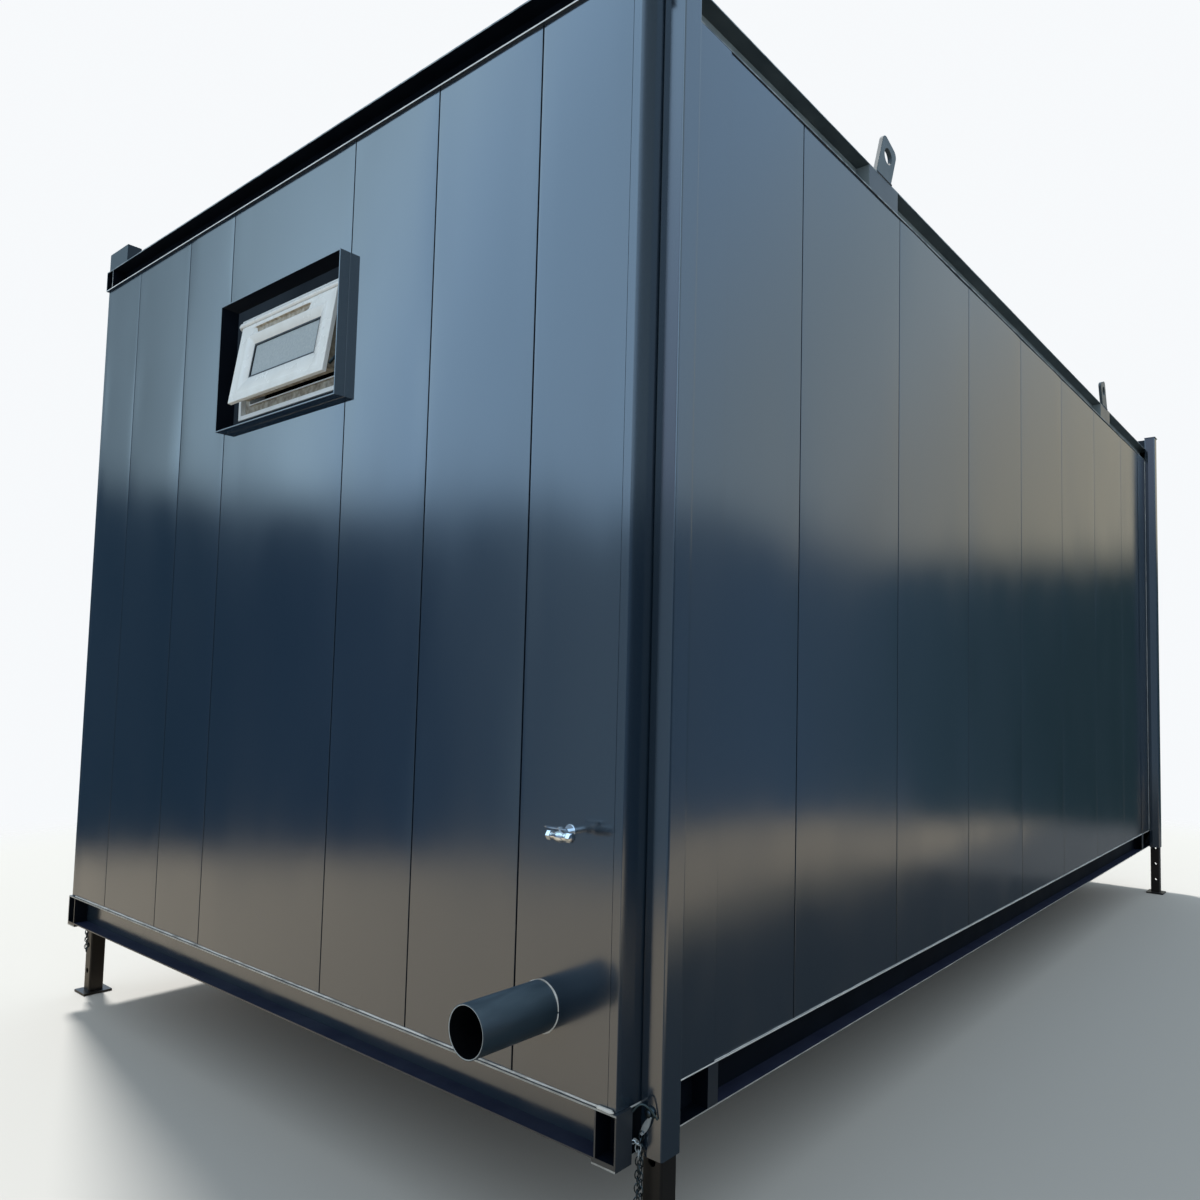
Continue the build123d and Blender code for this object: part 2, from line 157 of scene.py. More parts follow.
def makeWorld():
    # the camera sees a pale backdrop, gloss sees soft upper tones over a dim band, the rest is even daylight
    world = bpy.data.worlds.new("studioWorld")
    bpy.context.scene.world = world
    world.use_nodes = True
    tree = world.node_tree
    tree.nodes.clear()
    path = addNode(tree, "LightPath").outputs
    direction = addNode(tree, "TexCoord").outputs["Generated"]
    split = addNode(tree, "SeparateXYZ", direction).outputs
    upper = toneAlong(split["X"], studio["upperTones"], 1.0)
    band = toneAlong(split["X"], studio["bandTones"], 1.0)
    half = studio["bandWander"] / 2
    wander = span(noise(direction, *studio["wanderNoise"]), 0.3, 0.7, -half, half)
    fall = span(split["X"], *studio["fallAt"], 0.0, studio["bandFall"])
    level = combine(combine(split["Z"], wander, "ADD"), fall, "ADD")
    edge = span(level, *studio["bandTop"], 0.0, 1.0, "SMOOTHSTEP")
    seen = addNode(tree, "Background", studio["pale"], 1.0)
    gloss = addNode(tree, "Background", blendColor(edge, band, upper), 1.0)
    even = addNode(tree, "Background", studio["dayLight"], studio["dayStrength"])
    mirrored = combine(path["Is Glossy Ray"], path["Is Transmission Ray"], "MAXIMUM")
    notSeen = addNode(tree, "MixShader", mirrored, even.outputs[0], gloss.outputs[0])
    final = addNode(tree, "MixShader", path["Is Camera Ray"], notSeen.outputs[0], seen.outputs[0])
    addNode(tree, "OutputWorld", final.outputs[0])


def makeFloor():
    # a round pale floor whose rim fades into the backdrop; the cabin is lit and mirrored by its other tones, which
    # hold painted shade beside its right side
    sides, rings = 96, 8
    angle = fullTurn(sides)
    radius = np.linspace(studio["floorInner"], studio["floorRadius"], rings)
    level = -studio["floorDrop"]
    grid = np.stack([midX + radius[:, None] * np.cos(angle), radius[:, None] * np.sin(angle),
                     np.full((rings, sides), level)], -1).reshape(-1, 3)
    faces = gridFaces(rings, sides, closedColumns=True) + [(i, (i + 1) % sides, rings * sides) for i in range(sides)]
    piece = newObject("studioFloor", newMesh("studioFloor", np.vstack([grid, [[midX, 0, level]]]), faces))
    material = bpy.data.materials.new("studioFloor")
    material.use_nodes = True
    tree = material.node_tree
    tree.nodes.clear()
    coords = addNode(tree, "TexCoord").outputs["Object"]
    centre = addNode(tree, "Mapping", coords, (-midX, 0, 0)).outputs[0]
    distance = addNode(tree, "VectorMath", centre, operation="LENGTH").outputs["Value"]
    fade = span(distance, studio["floorRadius"] - studio["floorFade"], studio["floorRadius"], 0.0, 1.0,
                "SMOOTHSTEP")
    y = addNode(tree, "SeparateXYZ", coords).outputs["Y"]
    tones = toneAlong(y, studio["floorTones"], studio["floorReach"])
    seen = addNode(tree, "LightPath").outputs["Is Camera Ray"]
    paint = addNode(tree, "BsdfDiffuse", blendColor(seen, tones, studio["floorPale"]))
    clear = addNode(tree, "BsdfTransparent")
    mix = addNode(tree, "MixShader", fade, paint.outputs[0], clear.outputs[0])
    addNode(tree, "OutputMaterial", mix.outputs[0])
    piece.data.materials.append(material)


def makeSun():
    # one soft sun from behind, so that both near walls stand in shade
    data = bpy.data.lights.new("softSun", "SUN")
    data.energy = studio["sun"]
    data.color = studio["sunColor"]
    data.angle = math.radians(studio["sunSpread"])
    turn = math.atan2(studio["sunFrom"][1], studio["sunFrom"][0])
    newObject("softSun", data).rotation_euler = (0, math.radians(90 - studio["sunHeight"]), turn)


def gridFaces(rows, columns, closedRows=False, closedColumns=False):
    # quads of a rows by columns grid of points, wrapped round where it is closed
    r = np.arange(rows if closedRows else rows - 1)[:, None]
    c = np.arange(columns if closedColumns else columns - 1)[None, :]
    nextR, nextC = (r + 1) % rows, (c + 1) % columns
    quads = np.stack([r * columns + c, r * columns + nextC, nextR * columns + nextC, nextR * columns + c], -1)
    return [tuple(q) for q in quads.reshape(-1, 4).tolist()]


def ringFaces(rows, columns):
    return gridFaces(rows, columns, closedRows=True, closedColumns=True)


def tubeFaces(rows, columns):
    # a grid wrapped round along its columns, with both ends closed
    ends = [tuple(range(columns))[::-1], tuple(range((rows - 1) * columns, rows * columns))]
    return gridFaces(rows, columns, closedColumns=True) + ends


def fullTurn(count):
    return np.linspace(0, 2 * math.pi, count, endpoint=False)


def joined(shapes):
    # one list of points, faces and numbers of finishes from several of (points, faces) or (points, faces, numbers)
    points, faces, numbers, start = [], [], [], 0
    for shapePoints, shapeFaces, *given in shapes:
        number = given[0] if given else 0
        points.append(shapePoints)
        faces += [tuple(i + start for i in face) for face in shapeFaces]
        numbers += [number] * len(shapeFaces) if isinstance(number, int) else list(number)
        start += len(shapePoints)
    return np.vstack(points), faces, numbers


def addFinishes(mesh, names):
    # one finish or several, by name
    for name in [names] if isinstance(names, str) else names:
        mesh.materials.append(finishes[name])


def newMesh(name, points, faces):
    mesh = bpy.data.meshes.new(name)
    mesh.from_pydata(np.asarray(points, float).tolist(), [], faces)
    mesh.validate()
    return mesh


def makePiece(name, shapes, material, smooth, nodes=(), edge=0.0, segments=2, weighted=False):
    # one piece at the origin from several shapes, with its closed shells turned outwards
    points, faces, numbers = joined(shapes)
    mesh = newMesh(name, points, faces)
    mesh.polygons.foreach_set("material_index", np.asarray(numbers, np.int32))
    shell = bmesh.new()
    shell.from_mesh(mesh)
    bmesh.ops.delete(shell, geom=[corner for corner in shell.verts if not corner.link_faces], context="VERTS")
    bmesh.ops.recalc_face_normals(shell, faces=shell.faces)
    shell.to_mesh(mesh)
    shell.free()
    finish(mesh, material, edge, segments, smooth, "cabin", nodes, weighted)


def finish(mesh, material, edge, segments, smooth, body, nodes, weighted=False):
    # an object on a body: sharp edges rounded, the rest shaded smooth with the large faces kept flat
    piece = newObject(mesh.name, mesh)
    addFinishes(mesh, material)
    if edge:
        rounding = piece.modifiers.new("edge", "BEVEL")
        rounding.width, rounding.segments, rounding.limit_method = edge, segments, "ANGLE"
        rounding.angle_limit = math.radians(max(smooth, 30.0))
    if edge or weighted:
        flat = piece.modifiers.new("flat", "WEIGHTED_NORMAL")
        flat.keep_sharp = True
    mesh.shade_smooth()
    mesh.set_sharp_from_angle(angle=math.radians(smooth))
    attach(piece, body)
    if nodes:
        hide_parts(*nodes)


def channelPart(face, low, high, openTo):
    # where a face of a channel that is open to (axis, end of it) lies: 0 outside or on a pocket's cover,
    # 1 in an end pocket, 2 on the edge of its top flange, 3 on its web, 4 inside a flange, 5 on another edge
    centre = face.calc_center_median()
    gaps = [(centre[axis] - low[axis], high[axis] - centre[axis]) for axis in range(3)]
    if gaps[openTo[0]][openTo[1]] < steelwork["onEdge"]:
        spans = np.sort(np.ptp([corner.co[:] for corner in face.verts], axis=0))
        return 0 if spans[1] > steelwork["coverWidth"] else 2 if gaps[2][1] < steelwork["topEdge"] else 5
    if min(min(pair) for pair in gaps) <= steelwork["skin"]:
        return 0
    if min(gaps[1 - openTo[0]]) < steelwork["pocket"]:
        return 1
    return 3 if abs(face.normal.z) < 0.5 else 4


def bevelled(node, material, width, segments=2, slot="frame_steel", body="cabin", openTo=None):
    # a merged copy of a CAD node with its sharp edges rounded; an open channel takes six finishes
    shell = bmesh.new()
    shell.from_mesh(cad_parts[node].data)
    bmesh.ops.remove_doubles(shell, verts=shell.verts, dist=0.00002)
    bmesh.ops.dissolve_limit(shell, angle_limit=math.radians(1.0), verts=shell.verts, edges=shell.edges)
    low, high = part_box(node)
    for level in (low.z + steelwork["gauge"], high.z - steelwork["gauge"]) if openTo else ():
        everything = [*shell.verts, *shell.edges, *shell.faces]
        bmesh.ops.bisect_plane(shell, geom=everything, plane_co=(0, 0, level), plane_no=(0, 0, 1))
    for face in shell.faces:
        face.material_index = channelPart(face, low, high, openTo) if openTo else 0
    mesh = bpy.data.meshes.new(node + ".steel")
    shell.to_mesh(mesh)
    shell.free()
    finish(mesh, material, width, segments, 40.0, body, (node,))


def turned(profile, centre, axis, sides):
    # a profile of (distance along the axis, radius) turned round the axis
    profile, angle = np.asarray(profile, float), fullTurn(sides)
    a, r = profile[:, :1], profile[:, 1:]
    x, y, z = a + 0 * angle, r * np.cos(angle), r * np.sin(angle)
    order = {"X": (x, y, z), "Y": (y, x, z), "Z": (y, z, x)}[axis]
    return np.stack(order, -1).reshape(-1, 3) + np.asarray(centre)


def lathe(profile, centre, axis, sides):
    # the turned profile with both ends closed
    return turned(profile, centre, axis, sides), tubeFaces(len(profile), sides)


def tube(path, radius, sides, closed=False):
    # a round section carried along a path of points, square to the path's own direction
    path = np.asarray(path, float)
    ahead = np.roll(path, -1, 0) - np.roll(path, 1, 0)
    if not closed:
        ahead[0], ahead[-1] = path[1] - path[0], path[-1] - path[-2]
    ahead /= np.linalg.norm(ahead, axis=1)[:, None]
    steep = np.abs(ahead[:, 2]).mean() > 0.7
    side = np.cross(ahead, [1.0, 0, 0] if steep else [0, 0, 1.0])
    side /= np.linalg.norm(side, axis=1)[:, None]
    up = np.cross(side, ahead)
    angle = fullTurn(sides)[None, :, None]
    radius = np.broadcast_to(np.asarray(radius, float), (len(path),))[:, None, None]
    points = path[:, None] + radius * (np.cos(angle) * side[:, None] + np.sin(angle) * up[:, None])
    return points.reshape(-1, 3), (ringFaces if closed else tubeFaces)(len(path), sides)


def straight(start, end, count):
    return start + np.linspace(0, 1, count)[:, None] * (end - start)


def wandering(count, seed, smoothness):
    # a smooth random line between about -1 and 1
    values = np.random.default_rng(seed).uniform(-1, 1, count + 2 * smoothness)
    return np.convolve(values, np.hanning(smoothness * 2 + 1) / smoothness, "same")[smoothness:-smoothness]


def plate(outline, thickness):
    # a flat outline in (x, y) made a plate from z = 0 to its thickness
    outline = np.asarray(outline, float)
    count = len(outline)
    points = np.vstack([np.c_[outline, np.zeros(count)], np.c_[outline, np.full(count, thickness)]])
    return points, tubeFaces(2, count)


def smoothStep(value, low, high):
    t = np.clip((value - low) / (high - low), 0, 1)
    return t * t * (3 - 2 * t)


corners = {"front_right": (1, 1), "front_left": (1, -1), "rear_right": (-1, 1), "rear_left": (-1, -1)}


def atCorners(shapes, names=tuple(corners)):
    # shapes made at the front right corner, mirrored to each of the named corners
    moved = []
    for alongX, acrossY in [corners[name] for name in names]:
        for points, *rest in shapes:
            moved.append((points * np.array([alongX, acrossY, 1]) + [(1 - alongX) * midX, 0, 0], *rest))
    return moved


def fromCorner(x, y, z):
    # a place measured from the front end, the right side and the foot of the wall, in metres
    return np.array([frontX + x, rightY + y, footZ + z])


panelPaint = dict(color=(0.0085, 0.019, 0.034), tint=(0.012, 0.0235, 0.039), roughness=(0.13, 0.19), ior=2.2,
                  dust=(0.15, 0.13, 0.11), dustHeight=0.45, dustDrop=0.11, dustMost=0.1, peel=0.01)
framePaint = dict(color=(0.008, 0.014, 0.024), tint=(0.014, 0.021, 0.03), roughness=(0.26, 0.4), ior=1.75,
                  dust=(0.14, 0.12, 0.1), dustHeight=0.3, dustDrop=0.11, dustMost=0.22, peel=0.03)
# scale, detail and stretch of the noises in the sprayed paints
paintNoise = dict(shade=(1.4, 4.0), streak=(9.0, 5.0, (1, 1, 0.05)), patch=(5.0, 6.0), gloss=(3.0, 5.0, (1, 1, 0.4)),
                  peel=(420.0, 2.0))


def startMaterial(name):
    # a new finish with its node tree, the inputs of its paint and the object's own coordinates
    material = bpy.data.materials.new(name)
    material.use_nodes = True
    tree = material.node_tree
    return material, tree, tree.nodes["Principled BSDF"].inputs, addNode(tree, "TexCoord").outputs["Object"]


def dress(paint, grain, strength, **inputs):
    # feeds the paint's inputs by name and makes its surface a little uneven
    for name, value in inputs.items():
        feed(paint[name.replace("_", " ")], value)
    feed(paint["Normal"], addNode(grain.id_data, "Bump", Strength=strength, Distance=0.001, Height=grain).outputs[0])


def paintMaterial(name, look):
    # sprayed paint: slow shade changes, orange peel, streaks and dust near the foot of the wall
    material, tree, paint, coords = startMaterial(name)
    shade = blendColor(noise(coords, *paintNoise["shade"]), look["color"], look["tint"])
    height = addNode(tree, "SeparateXYZ", coords).outputs["Z"]
    low = span(height, footZ - look["dustDrop"], footZ + look["dustHeight"], 1.0, 0.0)
    streak = span(noise(coords, *paintNoise["streak"]), 0.42, 0.75, 0.25, 1.0)
    patch = span(noise(coords, *paintNoise["patch"]), 0.4, 0.72, 0.2, 1.0)
    dust = combine(combine(low, look["dustMost"]), combine(streak, patch))
    rough = span(noise(coords, *paintNoise["gloss"]), 0.3, 0.7, *look["roughness"])
    dress(paint, noise(coords, *paintNoise["peel"]), look["peel"], IOR=look["ior"],
          Base_Color=blendColor(dust, shade, look["dust"]),
          Roughness=combine(rough, combine(dust, 1.2), "ADD"))
    return material


def plainMaterial(name, color, tint, roughness, scale, metallic=0.0, ior=1.5, bump=0.05, stretch=None,
                  change=(0.3, 0.7)):
    # a finish with a fine change of shade, gloss and surface
    material, tree, paint, coords = startMaterial(name)
    fac = span(noise(coords, scale, 5.0, stretch), *change, 0.0, 1.0)
    rough = span(noise(coords, scale * 0.4, 4.0), 0.3, 0.7, *roughness)
    dress(paint, noise(coords, scale * 6, 3.0), bump, Base_Color=blendColor(fac, color, tint),
          Roughness=rough, Metallic=metallic, IOR=ior)
    return material


postFold = dict(start=0.021, end=0.07, slope=0.18)


def postMaterial():
    # the panels' paint, with the outer part of a post's end face leaning back
    material = paintMaterial("postSteel", panelPaint)
    tree = material.node_tree
    y = addNode(tree, "SeparateXYZ", addNode(tree, "TexCoord").outputs["Object"]).outputs["Y"]
    outward = addNode(tree, "Math", y, operation="ABSOLUTE").outputs[0]
    start, end = postFold["start"], postFold["end"]
    height = span(outward, -rightY + start, -rightY + end, 0.0, (start - end) * postFold["slope"])
    fold = addNode(tree, "Bump", Strength=1.0, Distance=1.0, Height=height)
    peel = tree.nodes["Principled BSDF"].inputs["Normal"].links[0].from_node
    feed(peel.inputs["Normal"], fold.outputs[0])
    return material


# colour, the shade it changes to, range of roughness, scale of the grain, and further settings where there are any
plainLooks = {
    "weatheredSteel": ((0.03, 0.044, 0.052), (0.062, 0.082, 0.09), (0.3, 0.45), 9.0, dict(ior=1.55, bump=0.1)),
    "navySteel": ((0.014, 0.018, 0.04), (0.024, 0.03, 0.056), (0.5, 0.65), 14.0, dict(ior=1.2)),
    # a pale tone painted on the insides of the side top rails for the sky that they mirror: a painted reflection
    "paleWeb": ((0.16, 0.205, 0.225), (0.235, 0.285, 0.305), (0.4, 0.55), 9.0),
    # pale tones painted on the rails' flange edges and pocket outlines for the light that they catch: painted
    # highlights, the second one dimmer
    "brightEdge": ((0.55, 0.58, 0.59), (0.8, 0.82, 0.82), (0.35, 0.55), 20.0),
    "dullEdge": ((0.23, 0.24, 0.24), (0.46, 0.47, 0.46), (0.35, 0.55), 26.0),
    "shadedSteel": ((0.001, 0.0025, 0.006), (0.0025, 0.005, 0.01), (0.5, 0.65), 8.0, dict(ior=1.2)),
    # a dark tone with paler patches painted on the top rails' flange edges: a painted highlight in patches
    "wornSteel": ((0.06, 0.08, 0.092), (0.3, 0.34, 0.36), (0.35, 0.55), 26.0,
                  dict(ior=1.7, bump=0.2, change=(0.36, 0.62))),
    "whiteUpvc": ((0.8, 0.83, 0.84), (0.74, 0.76, 0.76), (0.2, 0.34), 18.0),
    "dirtyUpvc": ((0.21, 0.17, 0.12), (0.5, 0.46, 0.38), (0.45, 0.7), 60.0, dict(bump=0.3)),
    "gasketRubber": ((0.006, 0.006, 0.007), (0.012, 0.012, 0.013), (0.4, 0.6), 80.0),
    "paleSealant": ((0.7, 0.7, 0.68), (0.3, 0.29, 0.27), (0.45, 0.7), 14.0, dict(bump=0.4, change=(0.45, 0.68))),
    "greySealant": ((0.58, 0.61, 0.62), (0.3, 0.33, 0.35), (0.35, 0.5), 12.0, dict(bump=0.3)),
    "obscureGlass": ((0.3, 0.34, 0.36), (0.36, 0.4, 0.42), (0.16, 0.26), 120.0, dict(bump=0.4)),
    "cutPlastic": ((0.3, 0.35, 0.38), (0.42, 0.45, 0.47), (0.5, 0.7), 90.0),
    # near black painted inside the waste pipe's bore for the shade there
    "paintedShadeBore": ((0.0015, 0.002, 0.003), (0.004, 0.005, 0.006), (0.8, 0.95), 20.0, dict(ior=1.1)),
    "brightZinc": ((0.72, 0.76, 0.78), (0.52, 0.57, 0.59), (0.25, 0.45), 70.0, dict(metallic=0.55, bump=0.15)),
    "chainSteel": ((0.022, 0.032, 0.038), (0.12, 0.145, 0.155), (0.3, 0.5), 90.0, dict(metallic=1.0, bump=0.15)),
    "dullWire": ((0.03, 0.05, 0.055), (0.1, 0.13, 0.13), (0.4, 0.6), 60.0, dict(metallic=0.6)),
    "brightChrome": ((0.8, 0.82, 0.84), (0.68, 0.69, 0.7), (0.1, 0.22), 60.0, dict(metallic=1.0)),
    "roofSheet": ((0.045, 0.052, 0.058), (0.075, 0.078, 0.08), (0.45, 0.65), 6.0, dict(bump=0.2)),
    "floorBoard": ((0.16, 0.1, 0.055), (0.25, 0.17, 0.1), (0.55, 0.75), 5.0,
                   dict(bump=0.3, stretch=(0.2, 3.0, 1.0)))}
paintLooks = {
    "panelSteel": panelPaint, "frameSteel": framePaint,
    "blockSteel": {**framePaint, "ior": 1.4, "color": (0.006, 0.014, 0.02)},
    "legSteel": {**framePaint, "ior": 1.35, "color": (0.011, 0.01, 0.01), "tint": (0.018, 0.016, 0.014),
                 "dust": (0.07, 0.055, 0.045)}}
finishes = {name: paintMaterial(name, look) for name, look in paintLooks.items()}
finishes["postSteel"] = postMaterial()
for name, look in plainLooks.items():
    finishes[name] = plainMaterial(name, *look[:4], **dict(*look[4:]))
print("finishes ready")

cladding = dict(
    seamWidth=0.005, seamDepth=0.0032, fold=0.0007, crown=0.0003, wave=0.0021, waveLength=1.55, waveStep=0.8,
    waveShares=(1.0, 1.6, 2.6), crownLeast=0.4, shadedFrom=0.4, held=0.16, lip=0.0004, foldShare=0.3,
    seamShape=(0, 0.12, 0.45, 1, 1, 0.45, 0.12, 0), thickness=0.05, rows=44, perPanel=11, round=0.0552,
    roundSquare=0.0389, roundRim=0.072, endStart=0.024, endSeams=(0.313, 0.709, 1.1, 1.82, 2.145, 2.57),
    firstSideSeam=0.7, sidePanel=0.631, lastPanel=0.34)


def slabFaces(keep):
    # outer and inner quads of the kept cells of a grid of points and the walls round their borders
    rows, columns = keep.shape[0] + 1, keep.shape[1] + 1
    outer = np.array(gridFaces(rows, columns))[keep.ravel()]
    count = rows * columns
    quads = [outer, outer[:, ::-1] + count]
    padded = np.pad(keep, 1)
    for border, over in ((padded[:-1, 1:-1] != padded[1:, 1:-1], 1),
                         (padded[1:-1, :-1] != padded[1:-1, 1:], columns)):
        r, c = np.nonzero(border)
        first = r * columns + c
        quads.append(np.stack([first, first + over, first + over + count, first + count], -1))
    return [tuple(quad) for quad in np.vstack(quads).tolist()]


def wallSlab(name, node, start, end, low, high, seams, place, seed, cuts=(), holes=()):
    # a wall over (along, up): panels with a slight crown and long waves, folded into a groove at each seam,
    # with cuts (along, along, up, up) and round holes (along, up); height is crown sin(pi t) plus waves in up
    look = cladding
    half, fold, lip = look["seamWidth"] / 2, look["fold"], look["lip"]
    edges = np.array([start, *seams, end])
    offsets = np.array([half + fold, half + fold * look["foldShare"], half, half - lip])
    offsets = np.concatenate([-offsets, offsets[::-1]])
    drop = np.array(look["seamShape"]) * look["seamDepth"]
    fractions = (np.arange(look["perPanel"]) + 1) / (look["perPanel"] + 1)
    inner = (edges[:-1, None] + fractions * np.diff(edges)[:, None]).ravel()
    grooves = (edges[1:-1, None] + offsets).ravel()
    square, rim = look["roundSquare"], look["roundRim"]
    ring = np.array([-rim, -square, -square / 2, 0, square / 2, square, rim])
    for centre, level in holes:
        inner = inner[np.abs(inner - centre) > rim]
    extra = [value for cut in cuts for value in cut[:2]] + [centre + step for centre, level in holes for step in ring]
    along = np.concatenate([[start, end], inner, grooves, extra])
    depth = np.concatenate([np.zeros(2 + len(inner)), np.tile(-drop, len(edges) - 2), np.zeros(len(extra))])
    order = np.argsort(along)
    along, depth = along[order], depth[order]
    levels = np.linspace(low, high, look["rows"])
    for centre, level in holes:
        levels = levels[np.abs(levels - level) > rim]
    levels = np.sort(np.concatenate([levels, [value for cut in cuts for value in cut[2:]],
                                     [level + step for centre, level in holes for step in ring]]))
    panel = np.clip(np.searchsorted(edges, along, side="right") - 1, 0, len(edges) - 2)
    t = np.clip((along - edges[panel]) / (edges[panel + 1] - edges[panel]), 0, 1)
    random = np.random.default_rng(seed)
    phase = random.uniform(0, 2 * math.pi, (3, len(edges), 2))
    share = random.uniform(0.5, 1.0, (3, len(edges), 2)) / np.array(look["waveShares"])[:, None, None]
    turns = 2 * math.pi * (levels - low)[:, None] / look["waveLength"]
    waves = [sum(share[k, panel, side] * np.sin((k + 1) * look["waveStep"] * turns + phase[k, panel, side])
                 for k in range(3)) for side in (0, 1)]
    held = smoothStep(np.minimum(t, 1 - t), 0, look["held"])
    height = (depth + look["crown"] * np.sin(math.pi * t) * (look["crownLeast"] + share[0, panel, 0])
              + look["wave"] / 2 * held * (waves[0] * (1 - t) + waves[1] * t))
    a, z = np.meshgrid(along, levels)
    for centre, level in holes:
        reach = np.maximum(np.abs(a - centre), np.abs(z - level))
        onSquare = np.abs(reach - square) < 1e-6
        scale = np.where(onSquare, look["round"] / np.maximum(np.hypot(a - centre, z - level), square), 1)
        a, z = centre + (a - centre) * scale, level + (z - level) * scale
    middleA, middleZ = (along[:-1] + along[1:]) / 2, (levels[:-1] + levels[1:]) / 2
    keep = np.ones((len(levels) - 1, len(along) - 1), bool)
    for left, right, bottom, top in [*cuts, *[(centre - square, centre + square, level - square, level + square)
                                              for centre, level in holes]]:
        keep &= ~(((middleZ > bottom) & (middleZ < top))[:, None] & ((middleA > left) & (middleA < right))[None, :])
    points = np.vstack([place(a, z, height).reshape(-1, 3),
                        place(a, z, np.full_like(height, -look["thickness"])).reshape(-1, 3)])
    faces = slabFaces(keep)
    deep = np.maximum(depth[:-1], depth[1:]) < -look["shadedFrom"] * look["seamDepth"]
    inSeam = np.broadcast_to(deep, keep.shape)[keep]
    numbers = np.concatenate([inSeam, np.zeros(len(faces) - len(inSeam))]).astype(int)
    makePiece(name, [(points, faces, numbers)], ["panelSteel", "shadedSteel"], 50.0, (node,),
              weighted=True)


window = dict(middle=1.402, low=1.704, wide=0.61, tall=0.332)
windowLow, windowHigh = footZ + window["low"], footZ + window["low"] + window["tall"]
windowY = rightY + window["middle"]
windowCut = (window["middle"] - window["wide"] / 2, window["middle"] + window["wide"] / 2, windowLow, windowHigh)
pipe = dict(place=0.226, rise=0.164, radius=0.055, wall=0.0032, reach=0.205, topFrom=0.005, sides=96,
            lowTone=(0.017, 0.034, 0.05), topTone=(0.1, 0.145, 0.185), roughness=(0.34, 0.5), grain=0.08)
doorLow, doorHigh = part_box("door_frame")
doorCut = (doorLow.x - frontX, doorHigh.x - frontX, doorLow.z, doorHigh.z)
endSpan = 2 * -rightY
sideSeams = np.arange(cladding["firstSideSeam"], cabinLength - cladding["lastPanel"], cladding["sidePanel"])
endRun = (cladding["endStart"], endSpan - cladding["endStart"], footZ, headZ, cladding["endSeams"])
sideRun = (cladding["thickness"], cabinLength - cladding["thickness"], footZ, headZ, sideSeams)
wallSlab("frontEndWall", "front_end_wall", *endRun, lambda a, z, h: np.stack([frontX - h, rightY + a, z], -1), 3,
         (windowCut,), ((pipe["place"], footZ + pipe["rise"]),))
wallSlab("rearEndWall", "rear_end_wall", *endRun, lambda a, z, h: np.stack([rearX + h, rightY + a, z], -1), 4)
wallSlab("rightSideWall", "right_side_wall", *sideRun, lambda a, z, h: np.stack([frontX + a, sideY - h, z], -1), 5)
wallSlab("leftSideWall", "left_side_wall", *sideRun, lambda a, z, h: np.stack([frontX + a, -sideY + h, z], -1), 6,
         (doorCut,))
print("cladding ready")

steelwork = dict(gauge=0.004, onEdge=0.0005, coverWidth=0.01, topEdge=0.006, skin=0.0025, pocket=0.25,
                 railEdge=0.0009)
# a rail's six finishes, in the order of channelPart; the edge finishes are painted highlights, shadedSteel is painted
# shade in the hollows and the side top rails' pale web is a painted reflection
endRails = {"base_rail": ["frameSteel", "shadedSteel", "dullEdge", "panelSteel", "navySteel", "dullEdge"],
            "top_rail": ["frameSteel", "shadedSteel", "wornSteel", "shadedSteel", "shadedSteel", "brightEdge"]}
sideRails = {"base_rail": ["frameSteel", "shadedSteel", "brightEdge", "shadedSteel", "navySteel", "dullEdge"],
             "top_rail": ["frameSteel", "paleWeb", "wornSteel", "paleWeb", "weatheredSteel", "wornSteel"]}
# the other solids: finish, width of the rounded edges, and where they aren't the usual ones its segments and slot
cornerSolids = {"post": ("postSteel", 0.0012, 2, "panel_steel"),
                "stacking_block": ("blockSteel", 0.003),
                "trim": ("panelSteel", 0.0012, 2, "panel_steel"),
                "leg": ("legSteel", 0.0012, 1)}
solids = {"right_lifting_lugs": ("weatheredSteel", 0.0015),
          "left_lifting_lugs": ("weatheredSteel", 0.0015),
          "floor_joists": ("frameSteel", 0.0012, 1),
          "door_leaf": ("panelSteel", 0.0015, 2, "door_steel"),
          "door_frame": ("panelSteel", 0.0015, 2, "door_steel"),
          "door_hinges": ("brightZinc", 0.0006, 2, "door_metal"),
          "door_handle": ("brightChrome", 0.0015, 2, "door_metal")}
for side, openTo in {"front": (0, 0), "rear": (0, 1), "right": (1, 0), "left": (1, 1)}.items():
    for rail, look in (sideRails if openTo[0] else endRails).items():
        bevelled(f"{side}_{rail}", look, steelwork["railEdge"], openTo=openTo)
for corner in corners:
    for part, look in cornerSolids.items():
        bevelled(f"{corner}_{part}", *look, body=corner + "_leg" if part == "leg" else "cabin")
for node, look in solids.items():
    bevelled(node, *look)
print("steelwork ready")

# foot, lump and side are places measured like fromCorner's, the rest are distances, in metres
beads = dict(
    wander=0.3, endShare=0.2, foot=(-0.0008, 0.03, 0.0012), footRadius=0.0026,
    lump=((-0.004, 0.003, 0.002), (-0.003, 0.052, 0.001)), lumpRadius=0.005, side=(0.14, 0.0022, 0.0006),
    sideRadius=0.0016, postBeside=0.0312, postOut=0.0002, postFoot=0.004, postHead=0.002, postRadius=0.0017,
    pipeOut=0.0006, pipeSink=0.0008, pipeRadius=0.0022)


def bead(start, end, radius, seed, step=0.012):
    # a run of sealant: a round section whose radius and line wander a little
    start, end = np.asarray(start, float), np.asarray(end, float)
    count = max(int(np.linalg.norm(end - start) / step), 6)
    path = straight(start, end, count)
    path[:, 2] += wandering(count, seed + 50, 3) * radius * beads["wander"]
    size = radius * (1 + beads["wander"] * wandering(count, seed, 4))
    size[[0, -1]] *= beads["endShare"]
    return tube(path, size, 8)


